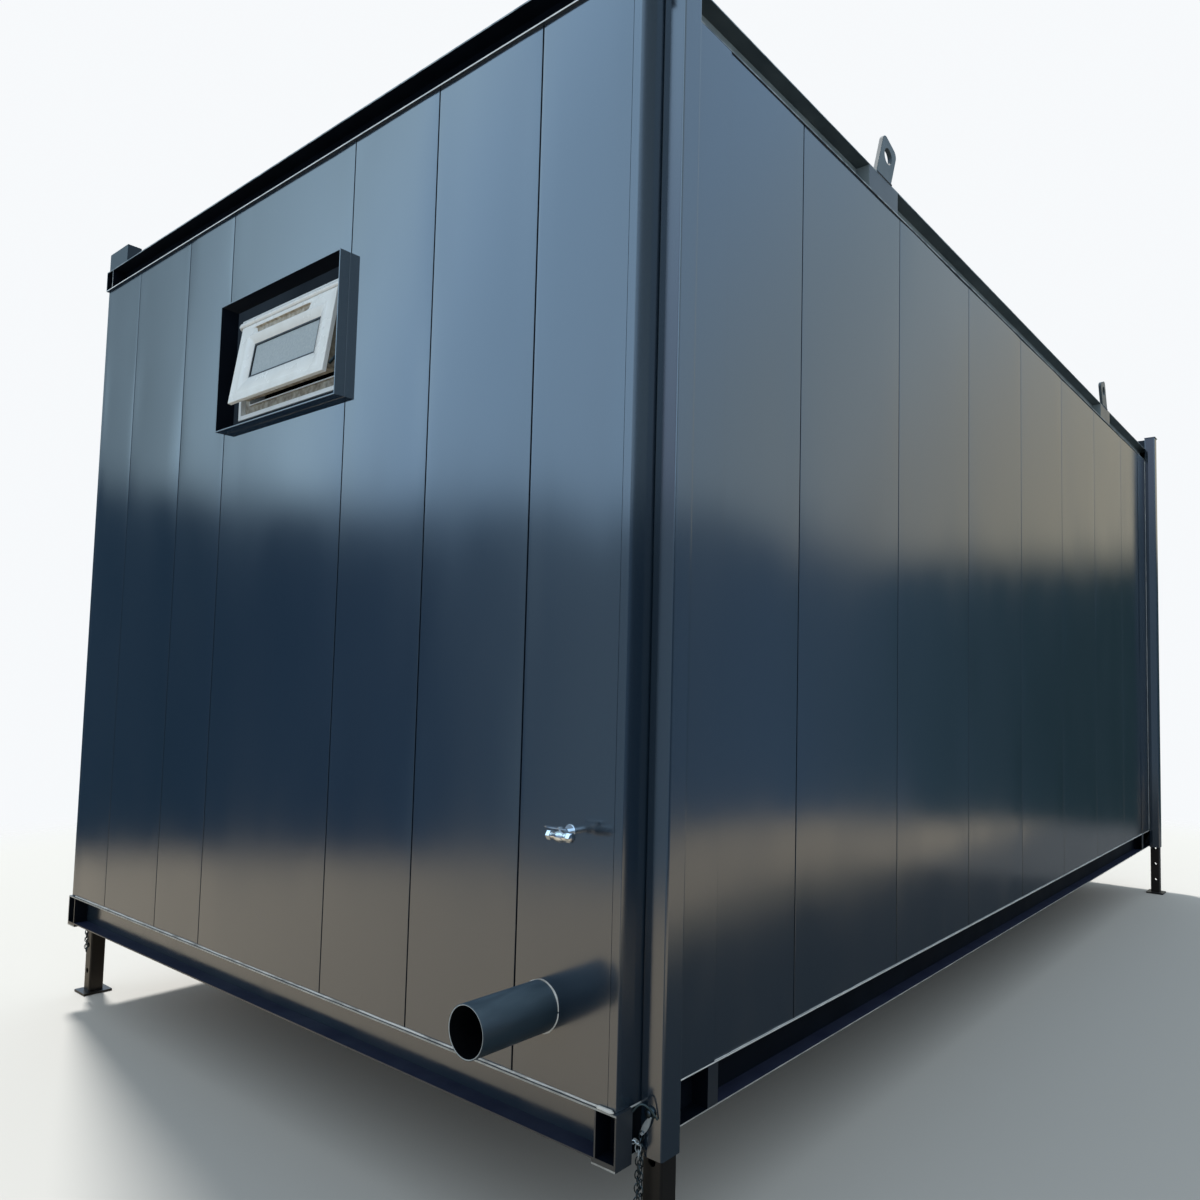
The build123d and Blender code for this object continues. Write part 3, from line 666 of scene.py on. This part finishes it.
# the bead round the pipe: a ring whose radius grows with 0.6 sin(3u + 1) + 0.4 sin(7u + 2.5)
u = fullTurn(72)
ringWaves = 0.6 * np.sin(3 * u + 1.0) + 0.4 * np.sin(7 * u + 2.5)
ringRadius = pipe["radius"] + beads["pipeOut"] * (1 + ringWaves)
pipeY, pipeZ = rightY + pipe["place"], footZ + pipe["rise"]
ringPath = np.c_[frontX - beads["pipeSink"] + 0 * u, pipeY + ringRadius * np.cos(u), pipeZ + ringRadius * np.sin(u)]
pipeBead = tube(ringPath, beads["pipeRadius"] * (1 + 0.4 * ringWaves), 8, closed=True)
x, y, z = beads["foot"]
footBead = bead(fromCorner(x, y, z), fromCorner(x, endSpan - y, z), beads["footRadius"], 31)
lumpBead = bead(*[fromCorner(*place) for place in beads["lump"]], beads["lumpRadius"], 37, 0.006)
makePiece("endSealant", [pipeBead, footBead, lumpBead, *atCorners([footBead], ("rear_right",))], "paleSealant",
          60.0)
x, y, z = beads["side"]
sideBead = bead(fromCorner(x, y, z), fromCorner(cabinLength - x, y, z), beads["sideRadius"], 33)
postX = (postLow.x + postHigh.x) / 2
x, y = postX + beads["postBeside"], rightY - beads["postOut"]
postBead = bead((x, y, footZ - beads["postFoot"]), (x, y, topRailLow.z - beads["postHead"]), beads["postRadius"], 35)
makePiece("sideSealant", [sideBead, *atCorners([sideBead], ("front_left",)), *atCorners([postBead])],
          "greySealant", 60.0)
print("sealant ready")


def ringStations(stations, y0, y1, z0, z1, perSide=1):
    # rectangles inset by (side, top, bottom) at a depth, round a window: (stations, 4 perSide) points (x, y, z)
    sideIn, topIn, bottomIn, depth = np.asarray(stations, float).T
    y = np.stack([y0 + sideIn, y1 - sideIn, y1 - sideIn, y0 + sideIn], -1)
    z = np.stack([z1 - topIn, z1 - topIn, z0 + bottomIn, z0 + bottomIn], -1)
    corner = np.stack([np.broadcast_to(depth[:, None], y.shape), y, z], -1)
    f = (np.arange(perSide) / perSide)[None, None, :, None]
    points = corner[:, :, None] * (1 - f) + np.roll(corner, -1, 1)[:, :, None] * f
    return points.reshape(len(stations), 4 * perSide, 3)


def evenRing(pairs, second):
    # a wrapped ring round the window with the same inset on every side, from (inset, depth) in millimetres;
    # the faces from each of the second stations take the second finish
    stations = np.array([(inset, inset, inset, depth) for inset, depth in pairs]) / 1000
    numbers = [int(row in second) for row in range(len(pairs)) for side in range(4)]
    points = ringStations(stations, *windowSides).reshape(-1, 3) + [frontX, 0, 0]
    return points, ringFaces(len(pairs), 4), numbers


windowSides = (windowY - window["wide"] / 2, windowY + window["wide"] / 2, windowLow, windowHigh)
surround = [(0, 0), (-43, 0), (-43, -30.6), (-42.2, -31.6), (-43, -32.6), (-43, -62), (-39, -62), (-39, -6), (0, -6)]
makePiece("windowSurround", [evenRing(surround, (6, 7))], ["panelSteel", "shadedSteel"], 30.0,
          nodes=("window_surround",), edge=0.0007)

# the nose is a section (out, up) with two shallow lines, in metres
frameLook = dict(
    ring=[(0, -10), (2, -10.6), (12, -10.6), (14, -9.6), (14.5, 5), (45, 8), (46, 2), (50, 1.5), (50, 50), (0, 50)],
    nose=[(0, 0), (-0.01, -0.0002), (-0.0155, 0.0014), (-0.018, 0.005), (-0.018, 0.0085), (-0.0172, 0.0092),
        (-0.0176, 0.01), (-0.0168, 0.0135), (-0.014, 0.0165), (-0.0132, 0.0163), (-0.0126, 0.0172), (-0.007, 0.02),
        (0, 0.021)],
    noseOut=0.01, noseLift=0.0003, drop=0.033, taper=0.014, endShares=(0.25, 0.45), across=61)
section = np.array(frameLook["nose"])
across = np.linspace(windowSides[0], windowSides[1], frameLook["across"])
full = smoothStep(np.minimum(across - windowSides[0], windowSides[1] - across), 0, frameLook["taper"])
reach, tall = [least + (1 - least) * full for least in frameLook["endShares"]]
noseFoot = windowHigh - frameLook["drop"] + frameLook["noseLift"]
nose = np.stack([frontX - frameLook["noseOut"] + section[:, 0] * reach[:, None],
                 np.repeat(across[:, None], len(section), 1), noseFoot + section[:, 1] * tall[:, None]], -1)
noseFaces = tubeFaces(len(across), len(section))
makePiece("windowFrame", [evenRing(frameLook["ring"], (4, 5)), (nose.reshape(-1, 3), noseFaces)],
          ["whiteUpvc", "dirtyUpvc"], 32.0, nodes=("window_frame",), edge=0.0006)

# the ring's stations are inset at the side, the top and the foot, and lie at a depth, in millimetres
sash = dict(
    wide=0.553, tall=0.261, drop=0.033, front=0.023, tilt=8.2, trough=0.0075, troughLip=0.12, troughHalf=0.172,
    troughMiddle=0.032, troughEnd=0.014, dirtyFrom=0.3, perSide=40,
    ring=[(0, 0, 0, 12.2), (0, 0, 0, 1.0), (1.0, 1.0, 1.0, 0), (17, 11, 11, 0), (19, 13, 12.2, 0.2),
        (21, 15, 13.4, 0.2), (36, 34, 23, 0.2), (38, 36, 24.2, 0.2), (40, 38, 26, 0), (43, 40, 28.5, -0.6),
        (64, 53, 54, 3.4), (79, 64, 70.5, 7.6), (83, 68, 76, 10.0), (83.5, 68.4, 76.5, 14.5), (81, 67, 75, 36),
        (24, 24, 24, 50.7), (24, 24, 24, 12.2)])


def hung(points):
    # swings the sash about its head: x' = x cos + z sin, z' = z cos - x sin
    tilt = math.radians(sash["tilt"])
    x, y, z = np.asarray(points, float).reshape(-1, 3).T
    return np.c_[frontX - sash["front"] + x * math.cos(tilt) + z * math.sin(tilt), windowY + y,
                 windowHigh - sash["drop"] + z * math.cos(tilt) - x * math.sin(tilt)]


def sashStations(stations, perSide):
    # stations in the sash's own plane, from millimetres
    half = sash["wide"] / 2
    return ringStations(np.array(stations) / 1000, -half, half, -sash["tall"], 0, perSide)


rows, columns = len(sash["ring"]), 4 * sash["perSide"]
points = sashStations(sash["ring"], sash["perSide"])
# the trough along the top: stations 5 and 6 sink by its depth, stations 4 and 7 by a share of it
groove = np.zeros(rows)
groove[5:7] = sash["trough"]
groove[[4, 7]] = sash["trough"] * sash["troughLip"]
onTop = np.arange(columns) < sash["perSide"] + 1
fromMiddle = np.abs(points[5, :, 1] - sash["troughMiddle"])
inGroove = onTop * (1 - smoothStep(fromMiddle, sash["troughHalf"] - sash["troughEnd"], sash["troughHalf"]))
points[:, :, 0] += groove[:, None] * inGroove[None, :]
dirty = np.zeros((rows, columns), int)
dirty[4:7, :] = (np.minimum(inGroove, np.roll(inGroove, -1)) > sash["dirtyFrom"])[None, :]
dirty[13:] = 1
makePiece("windowSash", [(hung(points), ringFaces(rows, columns), dirty.ravel())], ["whiteUpvc", "dirtyUpvc"],
          28.0, nodes=("window_sash",))


def squareRing(path, wide, deep):
    # a square section carried round a flat path: four offset copies of it
    away = np.sign(path - path.mean(0))
    away[:, 0] = 0
    offsets = np.array([(-deep, -wide), (-deep, wide), (deep, wide), (deep, -wide)]) / 2
    ring = np.stack([path + away * w + [d, 0, 0] for d, w in offsets])
    return hung(ring), ringFaces(4, len(path))


# a station like the ring's, and the width and the thickness of its section, in millimetres
gaskets = [((85.5, 70.4, 78.5, 12.6), 6.4, 3.6), ((24.0, 24.0, 24.0, 17.0), 7.0, 5.0)]
makePiece("windowGaskets", [squareRing(sashStations([station], 12)[0], wide / 1000, deep / 1000)
                            for station, wide, deep in gaskets], "gasketRubber", 30.0)

# the flat arms between the frame's jambs and the foot of the sash
stay = dict(foot=(0.004, 0.262, 0.118), tip=(0.03, 0.246, -0.222), middle=0.254, flatness=0.35,
            radii=(5.5, 5.5, 4, 4, 4, 4, 4, 5.5, 5.5))
stayParts = []
for side in (-1, 1):
    foot = np.array([frontX, windowY, windowLow]) + np.array(stay["foot"]) * [1, side, 1]
    tip = hung(np.array(stay["tip"]) * [1, side, 1])[0]
    points, faces = tube(straight(foot, tip, len(stay["radii"])), np.array(stay["radii"]) / 1000, 8)
    middle = windowY + side * stay["middle"]
    points[:, 1] = middle + (points[:, 1] - middle) * stay["flatness"]
    stayParts.append((points, faces))
makePiece("windowStays", stayParts, "chainSteel", 40.0)
# the wall's sheen shows no image of the window
for piece in [*[bpy.data.objects["window" + name] for name in ("Surround", "Frame", "Sash", "Gaskets", "Stays")],
              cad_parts["window_glass"]]:
    piece.visible_glossy = False
print("window ready")


def pipeMaterial():
    # slate plastic, paler and bluer in patches on its upper side
    material, tree, paint, coords = startMaterial("slatePlastic")
    height = addNode(tree, "SeparateXYZ", coords).outputs["Z"]
    upper = span(height, pipeZ + pipe["topFrom"], pipeZ + pipe["radius"], 0.0, 1.0)
    topPatches = span(noise(coords, 26.0, 6.0, (0.25, 1, 1)), 0.35, 0.72, 0.25, 1.0)
    shade = blendColor(combine(upper, topPatches), pipe["lowTone"], pipe["topTone"])
    rough = span(noise(coords, 14.0, 4.0), 0.3, 0.7, *pipe["roughness"])
    dress(paint, noise(coords, 90.0, 3.0), pipe["grain"], Base_Color=shade, Roughness=rough)
    return material


# the waste pipe: one closed section turned round, with a pale sawn rim and painted shade in its bore
finishes["slatePlastic"] = pipeMaterial()
mouth, wallEnd = frontX - pipe["reach"], frontX + cladding["thickness"]
outerR, innerR = pipe["radius"], pipe["radius"] - pipe["wall"]
pipeProfile = [(mouth + 0.0008, outerR), (mouth + 0.012, outerR), (mouth + 0.1, outerR), (wallEnd, outerR),
               (wallEnd, innerR), (mouth + 0.1, innerR), (mouth + 0.006, innerR), (mouth + 0.0006, innerR),
               (mouth, innerR + 0.0006), (mouth, outerR - 0.0014)]
pipeNumbers = np.repeat([0, 0, 0, 0, 2, 2, 2, 1, 1, 0], pipe["sides"])
makePiece("wastePipe", [(turned(pipeProfile, (0, pipeY, pipeZ), "X", pipe["sides"]),
                         ringFaces(len(pipeProfile), pipe["sides"]), pipeNumbers)],
          ["slatePlastic", "cutPlastic", "paintedShadeBore"], 40.0, nodes=("waste_pipe",))

valve = dict(
    place=0.12, rise=0.548, reach=0.06, radius=0.0075, bore=0.0055, nut=0.011, nutAt=0.029, tail=0.006,
    tailPlace=0.03, leverHalf=0.033, leverShift=0.014, leverWaist=0.0046, leverSwell=0.0022, leverThickness=0.0026,
    leverLift=0.0142, leverBendFrom=0.03, leverBend=0.05)
valveAt = np.array([frontX - valve["reach"], rightY + valve["place"], footZ + valve["rise"]])
r, bore = valve["radius"], valve["bore"]
ridges = [(-0.034 + 0.0012 * k, r + (0.0005 if k % 2 else -0.0002)) for k in range(9)]
bodyProfile = [(-0.013, 0.0003), (-0.013, bore), (-0.0345, bore), (-0.035, bore + 0.0005), (-0.035, r - 0.0006),
               *ridges, (-0.023, r), (-0.023, 0.0092), (-0.021, 0.0102), (-0.014, 0.0102), (-0.012, 0.009),
               (-0.008, 0.0118), (0.0, 0.0128), (0.008, 0.0118), (0.012, 0.009), (0.023, 0.0085), (0.0345, r),
               (0.035, r - 0.0008), (0.035, 0.0003)]
nutProfile = [(-0.006, 0.009), (-0.0052, valve["nut"]), (0.0052, valve["nut"]), (0.006, 0.009)]
stemProfile = [(0.006, 0.0045), (0.0145, 0.0045), (0.015, 0.006), (0.0185, 0.006), (0.0195, 0.0048),
               (0.02, 0.0003)]
flangeProfile = [(-0.003, 0.0075), (-0.003, 0.015), (-0.0022, 0.0158), (0.0004, 0.016), (0.0004, 0.0075)]
# the wing lever: a rounded outline with a waist, bent a little along its length
u = fullTurn(40)
outline = np.c_[(valve["leverWaist"] + valve["leverSwell"] * np.abs(np.cos(u))) * np.sin(u),
                valve["leverHalf"] * np.cos(u) + valve["leverShift"]]
lever, leverFaces = plate(outline, valve["leverThickness"])
lever[:, 2] += valve["leverLift"] + valve["leverBend"] * np.maximum(lever[:, 1] - valve["leverBendFrom"], 0)
tailPath = valveAt + np.array([(0, 0.03, 0), (0.012, 0.0302, 0), (0.03, 0.0304, 0), (0.06, 0.03, 0),
                               (0.108, 0.03, 0)])
makePiece("inletValve", [lathe(bodyProfile, valveAt, "Y", 40),
                         *[lathe(nutProfile, valveAt + [0, side * valve["nutAt"], 0], "Y", 6) for side in (-1, 1)],
                         lathe(stemProfile, valveAt, "Z", 24), (lever + valveAt, leverFaces),
                         tube(tailPath, valve["tail"], 20),
                         lathe(flangeProfile, (frontX, valveAt[1] + valve["tailPlace"], valveAt[2]), "X", 36)],
          "brightChrome", 38.0, nodes=("inlet_valve",))
print("services ready")

pin = dict(
    radius=0.0077, reach=0.012, inside=0.0042, collar=0.013, collarLong=0.006, inset=0.031, handle=0.047, turn=30.0,
    thickness=0.0032, tailFrom=0.036, tailBend=0.25, handleAt=(-0.0065, -0.006, -0.004), leafLeast=0.0024,
    leafSwell=0.0046, leafStart=0.02, leafRun=0.86, leafSharpness=1.3)
pinAt = np.array([postX - pin["inset"], rightY - pin["inset"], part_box("locking_pins")[1].z - pin["collar"]])
pinProfile = [(-pin["inside"], 0.0002), (-pin["inside"], pin["radius"]), (pin["reach"] - 0.0015, pin["radius"]),
              (pin["reach"], pin["radius"] - 0.0018), (pin["reach"] + 0.0002, 0.0002)]
long = pin["collarLong"]
collarProfile = [(0.0, 0.0078), (0.0, pin["collar"] - 0.0008), (0.001, pin["collar"]),
                 (long - 0.001, pin["collar"]), (long, pin["collar"] - 0.001), (long, 0.0078)]
pinParts = [(points * [-1, 1, 1] + pinAt, faces, 1)
            for points, faces in (lathe(pinProfile, (0, 0, 0), "X", 28), lathe(collarProfile, (0, 0, 0), "X", 36))]
# the leaf-shaped handle: its half width is least + swell sin(pi t)^sharpness, t running along it; it is carried
# down, turned about X, and its tail bent out
s = np.linspace(0, 1, 25)
swell = np.sin(math.pi * np.clip(s * pin["leafRun"] + pin["leafStart"], 0, 1)) ** pin["leafSharpness"]
halfWide = pin["leafLeast"] + pin["leafSwell"] * swell
down = -s * pin["handle"]
outline = np.vstack([np.c_[halfWide, down], np.c_[-halfWide, down][::-1]])
points, faces = plate(outline, pin["thickness"])
turn = math.radians(pin["turn"])
x, y, z = points.T
leaf = np.c_[-z - pin["tailBend"] * np.maximum(-y - pin["tailFrom"], 0),
             x * math.cos(turn) - y * math.sin(turn), x * math.sin(turn) + y * math.cos(turn)]
pinParts.append((leaf + pin["handleAt"] + pinAt, faces, 0))
makePiece("lockingPins", atCorners(pinParts), ["brightZinc", "chainSteel"], 38.0,
          nodes=("locking_pins",), edge=0.0004, segments=1)

chain = dict(
    pitch=0.0135, long=0.01, wide=0.0058, wire=0.0014, around=12, section=5, bright=4, samples=400, smooth=16,
    firstTurn=0.5, across=(0.25, 1.0, 0.1),
    route=[(0.044, -0.004, -0.07), (0.05, -0.01, -0.066), (0.056, -0.012, -0.074), (0.06, -0.011, -0.1),
        (0.062, -0.008, -0.15), (0.0635, -0.005, -0.2), (0.0635, -0.006, -0.224), (0.064, -0.01, -0.232),
        (0.064, -0.014, -0.224), (0.064, -0.015, -0.19), (0.064, -0.014, -0.14), (0.064, -0.013, -0.1),
        (0.064, -0.014, -0.068), (0.0635, -0.016, -0.06)])


def chainLinks(look):
    # oval links set at equal steps along a smoothed route, each turned a quarter from the last:
    # a point is centre + long cos(a) ahead + wide sin(a) side, with a round section about it
    route = np.array([fromCorner(*place) for place in look["route"]])
    fine = np.linspace(0, 1, look["samples"])
    line = np.stack([np.interp(fine, np.linspace(0, 1, len(route)), route[:, k]) for k in range(3)], -1)
    kernel = np.hanning(2 * look["smooth"] + 1)
    line = np.stack([np.convolve(np.pad(line[:, k], look["smooth"], mode="edge"), kernel / kernel.sum(), "valid")
                     for k in range(3)], -1)
    steps = np.r_[0, np.cumsum(np.linalg.norm(np.diff(line, axis=0), axis=1))]
    count = int(steps[-1] / look["pitch"]) + 1
    at = np.linspace(0, steps[-1], count)
    centre = np.stack([np.interp(at, steps, line[:, k]) for k in range(3)], -1)
    ahead = np.gradient(centre, axis=0)
    ahead /= np.linalg.norm(ahead, axis=1)[:, None]
    side = np.cross(ahead, look["across"])
    side /= np.linalg.norm(side, axis=1)[:, None]
    other = np.cross(ahead, side)
    quarter = (np.arange(count) % 2 * math.pi / 2 + look["firstTurn"])[:, None]
    side, other = side * np.cos(quarter) + other * np.sin(quarter), other * np.cos(quarter) - side * np.sin(quarter)
    a = fullTurn(look["around"])[:, None]
    b = fullTurn(look["section"])
    x = (look["long"] + look["wire"] * np.cos(b)) * np.cos(a)
    y = (look["wide"] + look["wire"] * np.cos(b)) * np.sin(a)
    z = look["wire"] * np.sin(b) + 0 * x
    points = centre[:, None, None] + sum(size[None, ..., None] * way[:, None, None]
                                         for size, way in ((x, ahead), (y, side), (z, other)))
    one = np.array(ringFaces(*x.shape))
    faces = (one[None] + (np.arange(count) * x.size)[:, None, None]).reshape(-1, 4)
    numbers = np.repeat((np.arange(count) < look["bright"]).astype(int), len(one))
    return points.reshape(-1, 3), [tuple(face) for face in faces.tolist()], numbers.tolist()


makePiece("pinChains", atCorners([chainLinks(chain)]), ["chainSteel", "brightZinc"], 60.0)

# the bent wire that keeps the pin: an arch from the rail's end plate over to the post, its bow by sin(pi t)
keeper = dict(start=(0.04, -0.01, -0.006), end=(0.072, -0.05, -0.022), bow=(-0.006, 0.0, 0.024), radius=0.0021,
              count=25)
bow = np.sin(math.pi * np.linspace(0, 1, keeper["count"]))[:, None] * keeper["bow"]
path = straight(fromCorner(*keeper["start"]), fromCorner(*keeper["end"]), keeper["count"]) + bow
makePiece("pinKeepers", atCorners([tube(path, keeper["radius"], 8)]), "dullWire", 60.0)

# weld runs where the lifting lugs meet the rails: the radius ripples by sin(ripple times the step)
weld = dict(places=(1.151, 4.047), long=0.104, across=(0.0004, 0.0146), lift=0.0008, radius=0.00315, ripple=1.25,
            rippleSize=0.00042, count=90)
weldRadius = weld["radius"] + weld["rippleSize"] * np.sin(np.arange(weld["count"]) * weld["ripple"])
weldParts = []
for x in weld["places"]:
    for y in weld["across"]:
        start, end = fromCorner(x, y, 0), fromCorner(x + weld["long"], y, 0)
        start[2] = end[2] = topRailHigh.z + weld["lift"]
        weldParts.append(tube(straight(start, end, weld["count"]), weldRadius, 8))
makePiece("lugWelds", [*weldParts, *atCorners(weldParts, ("front_left",))], "frameSteel", 50.0)
print("hardware ready")

# finishes of the nodes that stay
for node, look in {"floor_deck": "floorBoard", "roof_deck": "roofSheet", "window_glass": "obscureGlass"}.items():
    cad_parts[node].data.materials.clear()
    addFinishes(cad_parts[node].data, look)

makeCamera()
makeWorld()
makeFloor()
makeSun()
bpy.context.scene.view_settings.view_transform = "Standard"
print("studio ready")
